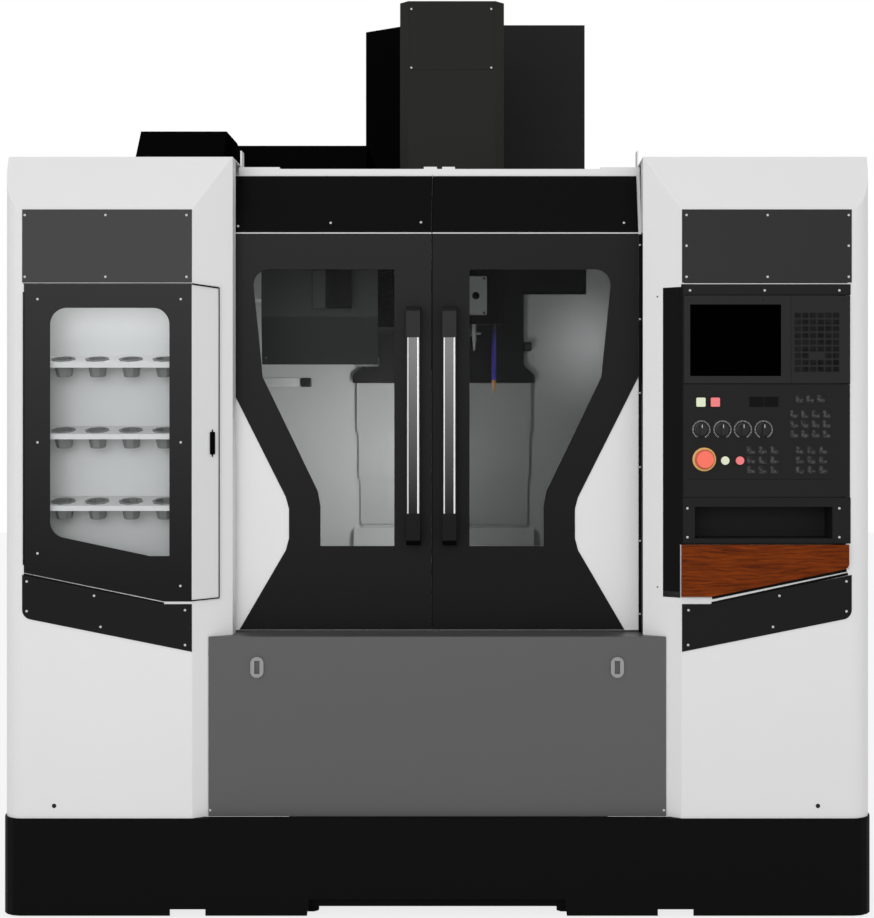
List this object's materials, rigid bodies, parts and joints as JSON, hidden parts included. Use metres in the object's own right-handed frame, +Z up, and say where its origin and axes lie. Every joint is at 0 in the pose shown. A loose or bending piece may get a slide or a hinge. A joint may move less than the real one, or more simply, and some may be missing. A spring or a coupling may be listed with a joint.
{
  "type": "cnc machining center",
  "caption": "Enclosed vertical machining center with sliding doors, a tool cabinet, an operator console, a moving table and head, and a tool changer.",
  "frame": {"origin": "on the floor under the middle of the overall box", "axes": "+Z up, +X to the operator's right, +Y from the operator into the machine"},
  "size_m": [2.308, 2.173, 2.695],
  "materials": {
    "base_skirt": "satin powder coat",
    "bed_casting": "painted casting",
    "levelling_feet": "oiled",
    "front_sill": "fine texture paint",
    "lower_front_panel": "fine texture paint",
    "left_pod": "fine texture paint",
    "right_pod": "fine texture paint",
    "pod_plates": "satin",
    "splash_walls": "smooth paint",
    "top_beam": "fine texture paint",
    "column_casting": "painted casting",
    "column_cover": "satin",
    "atc_top_panels": "satin",
    "magazine_housing": "satin",
    "atc_gearbox": "painted casting",
    "atc_cover": "satin",
    "coolant_tank": "satin",
    "electrical_cabinet": "fine texture paint",
    "tool_rack": "smooth paint",
    "tool_sleeves": "moulded",
    "console_housing": "fine texture paint",
    "display_bezel": "moulded",
    "display_screen": "glossy screen",
    "operator_panel": "printed film",
    "way_covers": "brushed",
    "left_door_sheet": "fine texture paint",
    "left_door_cover": "satin",
    "left_door_window": "clear",
    "left_door_handle": "brushed",
    "right_door_sheet": "fine texture paint",
    "right_door_cover": "satin",
    "right_door_window": "clear",
    "right_door_handle": "brushed",
    "cabinet_door": "satin",
    "cabinet_window": "clear",
    "drawer_box": "satin",
    "drawer_front": "varnished",
    "emergency_stop_button": "gloss",
    "start_button": "gloss",
    "stop_button": "gloss",
    "power_on_button": "gloss",
    "power_off_button": "gloss",
    "mode_knob": "moulded",
    "feed_knob": "moulded",
    "rapid_knob": "moulded",
    "spindle_knob": "moulded",
    "saddle": "machined",
    "saddle_cover": "wiper",
    "work_table": "ground",
    "head_casting": "painted casting",
    "head_cover": "satin",
    "spindle_motor": "satin",
    "coolant_nozzles": "ball link hose",
    "spindle": "ground",
    "z_cover_upper": "brushed",
    "z_cover_middle": "brushed",
    "magazine_disc": "machined",
    "arm_shaft": "ground",
    "change_arm": "ground",
    "rear_cabinet_door": "fine texture paint"
  },
  "bodies": {
    "frame": {"base_skirt": "base_skirt", "bed_casting": "bed_casting", "levelling_feet": "levelling_feet", "front_sill": "front_sill", "lower_front_panel": "lower_front_panel", "left_pod": "left_pod", "right_pod": "right_pod", "pod_plates": "pod_plates", "splash_walls": "splash_walls", "top_beam": "top_beam", "column_casting": "column_casting", "column_cover": "column_cover", "atc_top_panels": "atc_top_panels", "magazine_housing": "magazine_housing", "atc_gearbox": "atc_gearbox", "atc_cover": "atc_cover", "coolant_tank": "coolant_tank", "electrical_cabinet": "electrical_cabinet", "tool_rack": "tool_rack", "tool_sleeves": "tool_sleeves", "console_housing": "console_housing", "display_bezel": "display_bezel", "display_screen": "display_screen", "operator_panel": "operator_panel", "way_covers": "way_covers"},
    "left_door": {"left_door_sheet": "left_door_sheet", "left_door_cover": "left_door_cover", "left_door_window": "left_door_window", "left_door_handle": "left_door_handle"},
    "right_door": {"right_door_sheet": "right_door_sheet", "right_door_cover": "right_door_cover", "right_door_window": "right_door_window", "right_door_handle": "right_door_handle"},
    "tool_cabinet_door": {"cabinet_door": "cabinet_door", "cabinet_window": "cabinet_window"},
    "drawer": {"drawer_box": "drawer_box", "drawer_front": "drawer_front"},
    "emergency_stop": {"emergency_stop_button": "emergency_stop_button"},
    "start_button": {"start_button": "start_button"},
    "stop_button": {"stop_button": "stop_button"},
    "power_on_button": {"power_on_button": "power_on_button"},
    "power_off_button": {"power_off_button": "power_off_button"},
    "mode_knob": {"mode_knob": "mode_knob"},
    "feed_knob": {"feed_knob": "feed_knob"},
    "rapid_knob": {"rapid_knob": "rapid_knob"},
    "spindle_knob": {"spindle_knob": "spindle_knob"},
    "saddle": {"saddle": "saddle", "saddle_cover": "saddle_cover"},
    "table": {"work_table": "work_table"},
    "head": {"head_casting": "head_casting", "head_cover": "head_cover", "spindle_motor": "spindle_motor", "coolant_nozzles": "coolant_nozzles"},
    "spindle": {"spindle": "spindle"},
    "z_cover_upper": {"z_cover_upper": "z_cover_upper"},
    "z_cover_middle": {"z_cover_middle": "z_cover_middle"},
    "magazine_disc": {"magazine_disc": "magazine_disc"},
    "arm_shaft": {"arm_shaft": "arm_shaft"},
    "change_arm": {"change_arm": "change_arm"},
    "rear_cabinet_door": {"rear_cabinet_door": "rear_cabinet_door"}
  },
  "joints": [
    {"name": "left_door_slide", "type": "slide", "parent": "frame", "child": "left_door", "axis": [-1, 0, 0], "range_m": [0, 0.455]},
    {"name": "right_door_slide", "type": "slide", "parent": "frame", "child": "right_door", "axis": [1, 0, 0], "range_m": [0, 0.455]},
    {"name": "tool_cabinet_door_hinge", "type": "hinge", "parent": "frame", "child": "tool_cabinet_door", "pos_m": [-1.0905, -1.0623, 1.25], "axis": [0, 0, -1], "range_deg": [0, 110]},
    {"name": "drawer_slide", "type": "slide", "parent": "frame", "child": "drawer", "axis": [0, -1, 0], "range_m": [0, 0.08]},
    {"name": "emergency_stop_press", "type": "slide", "parent": "frame", "child": "emergency_stop", "axis": [0, 1, 0], "range_m": [0, 0.005], "stiffness_N_per_m": 1500},
    {"name": "start_button_press", "type": "slide", "parent": "frame", "child": "start_button", "axis": [0, 1, 0], "range_m": [0, 0.003], "stiffness_N_per_m": 600},
    {"name": "stop_button_press", "type": "slide", "parent": "frame", "child": "stop_button", "axis": [0, 1, 0], "range_m": [0, 0.003], "stiffness_N_per_m": 600},
    {"name": "power_on_button_press", "type": "slide", "parent": "frame", "child": "power_on_button", "axis": [0, 1, 0], "range_m": [0, 0.003], "stiffness_N_per_m": 600},
    {"name": "power_off_button_press", "type": "slide", "parent": "frame", "child": "power_off_button", "axis": [0, 1, 0], "range_m": [0, 0.003], "stiffness_N_per_m": 600},
    {"name": "mode_knob_turn", "type": "hinge", "parent": "frame", "child": "mode_knob", "pos_m": [0.6977, -1.0695, 1.287], "axis": [0, -1, 0], "range_deg": [-135, 135]},
    {"name": "feed_knob_turn", "type": "hinge", "parent": "frame", "child": "feed_knob", "pos_m": [0.7536, -1.0695, 1.287], "axis": [0, -1, 0], "range_deg": [-135, 135]},
    {"name": "rapid_knob_turn", "type": "hinge", "parent": "frame", "child": "rapid_knob", "pos_m": [0.8075, -1.0695, 1.287], "axis": [0, -1, 0], "range_deg": [-135, 135]},
    {"name": "spindle_knob_turn", "type": "hinge", "parent": "frame", "child": "spindle_knob", "pos_m": [0.8622, -1.0695, 1.287], "axis": [0, -1, 0], "range_deg": [-135, 135]},
    {"name": "saddle_slide", "type": "slide", "parent": "frame", "child": "saddle", "axis": [0, 1, 0], "range_m": [-0.25, 0.25]},
    {"name": "table_slide", "type": "slide", "parent": "saddle", "child": "table", "axis": [1, 0, 0], "range_m": [-0.4, 0.4]},
    {"name": "head_slide", "type": "slide", "parent": "frame", "child": "head", "axis": [0, 0, -1], "range_m": [0, 0.5]},
    {"name": "spindle_spin", "type": "hinge", "parent": "head", "child": "spindle", "pos_m": [0.02, -0.3095, 1.6], "axis": [0, 0, 1], "continuous": true},
    {"name": "z_cover_upper_slide", "type": "slide", "parent": "frame", "child": "z_cover_upper", "axis": [0, 0, -1], "range_m": [0, 0.3334]},
    {"name": "z_cover_middle_slide", "type": "slide", "parent": "frame", "child": "z_cover_middle", "axis": [0, 0, -1], "range_m": [0, 0.1667]},
    {"name": "magazine_spin", "type": "hinge", "parent": "frame", "child": "magazine_disc", "pos_m": [-0.82, -0.1685, 1.85], "axis": [1, 0, 0], "continuous": true},
    {"name": "arm_drop_slide", "type": "slide", "parent": "frame", "child": "arm_shaft", "axis": [0, 0, 1], "range_m": [-0.105, 0]},
    {"name": "arm_turn", "type": "hinge", "parent": "arm_shaft", "child": "change_arm", "pos_m": [-0.275, -0.2595, 1.513], "axis": [0, 0, -1], "range_deg": [-80, 0]},
    {"name": "rear_cabinet_door_hinge", "type": "hinge", "parent": "frame", "child": "rear_cabinet_door", "pos_m": [-0.43, 1.0865, 1.2], "axis": [0, 0, 1], "range_deg": [0, 110]}
  ],
  "couplings": [
    {"joint": "z_cover_upper_slide", "follows": "head_slide", "ratio": 0.6667},
    {"joint": "z_cover_middle_slide", "follows": "head_slide", "ratio": 0.3333}
  ]
}
